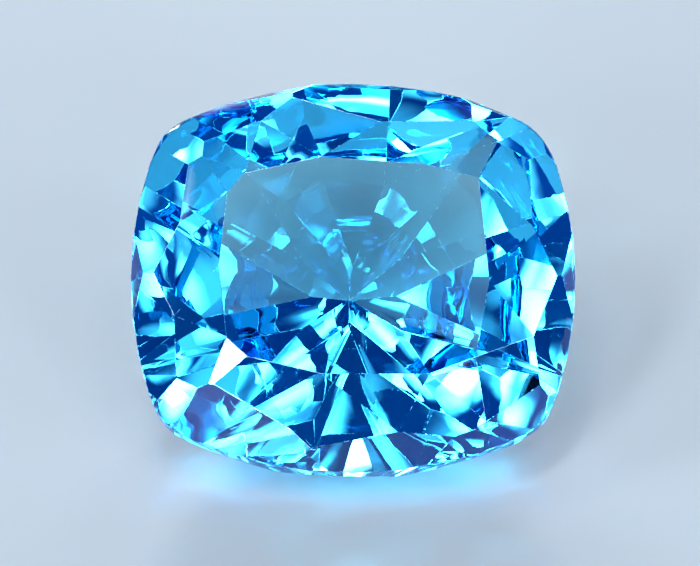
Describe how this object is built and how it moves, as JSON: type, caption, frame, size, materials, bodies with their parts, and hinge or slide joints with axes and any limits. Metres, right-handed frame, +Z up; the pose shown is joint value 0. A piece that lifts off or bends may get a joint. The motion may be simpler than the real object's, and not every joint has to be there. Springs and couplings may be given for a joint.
{
  "type": "cushion-cut topaz gemstone",
  "caption": "Clear blue topaz cut as a rounded cushion, with a flat table, a faceted crown, a thin girdle and a deep faceted pavilion ending in a point.",
  "frame": {"origin": "centre of the bounding box's base, on the surface that the stone lies on", "axes": "+X along the length of the girdle, +Z up from the surface, table leaning towards -Y"},
  "size_m": [0.014, 0.0106, 0.0094],
  "materials": {
    "topaz": "polished flat facets, clear sky-blue body"
  },
  "bodies": {
    "root": {"cushion_cut_topaz": "topaz"}
  },
  "joints": []
}
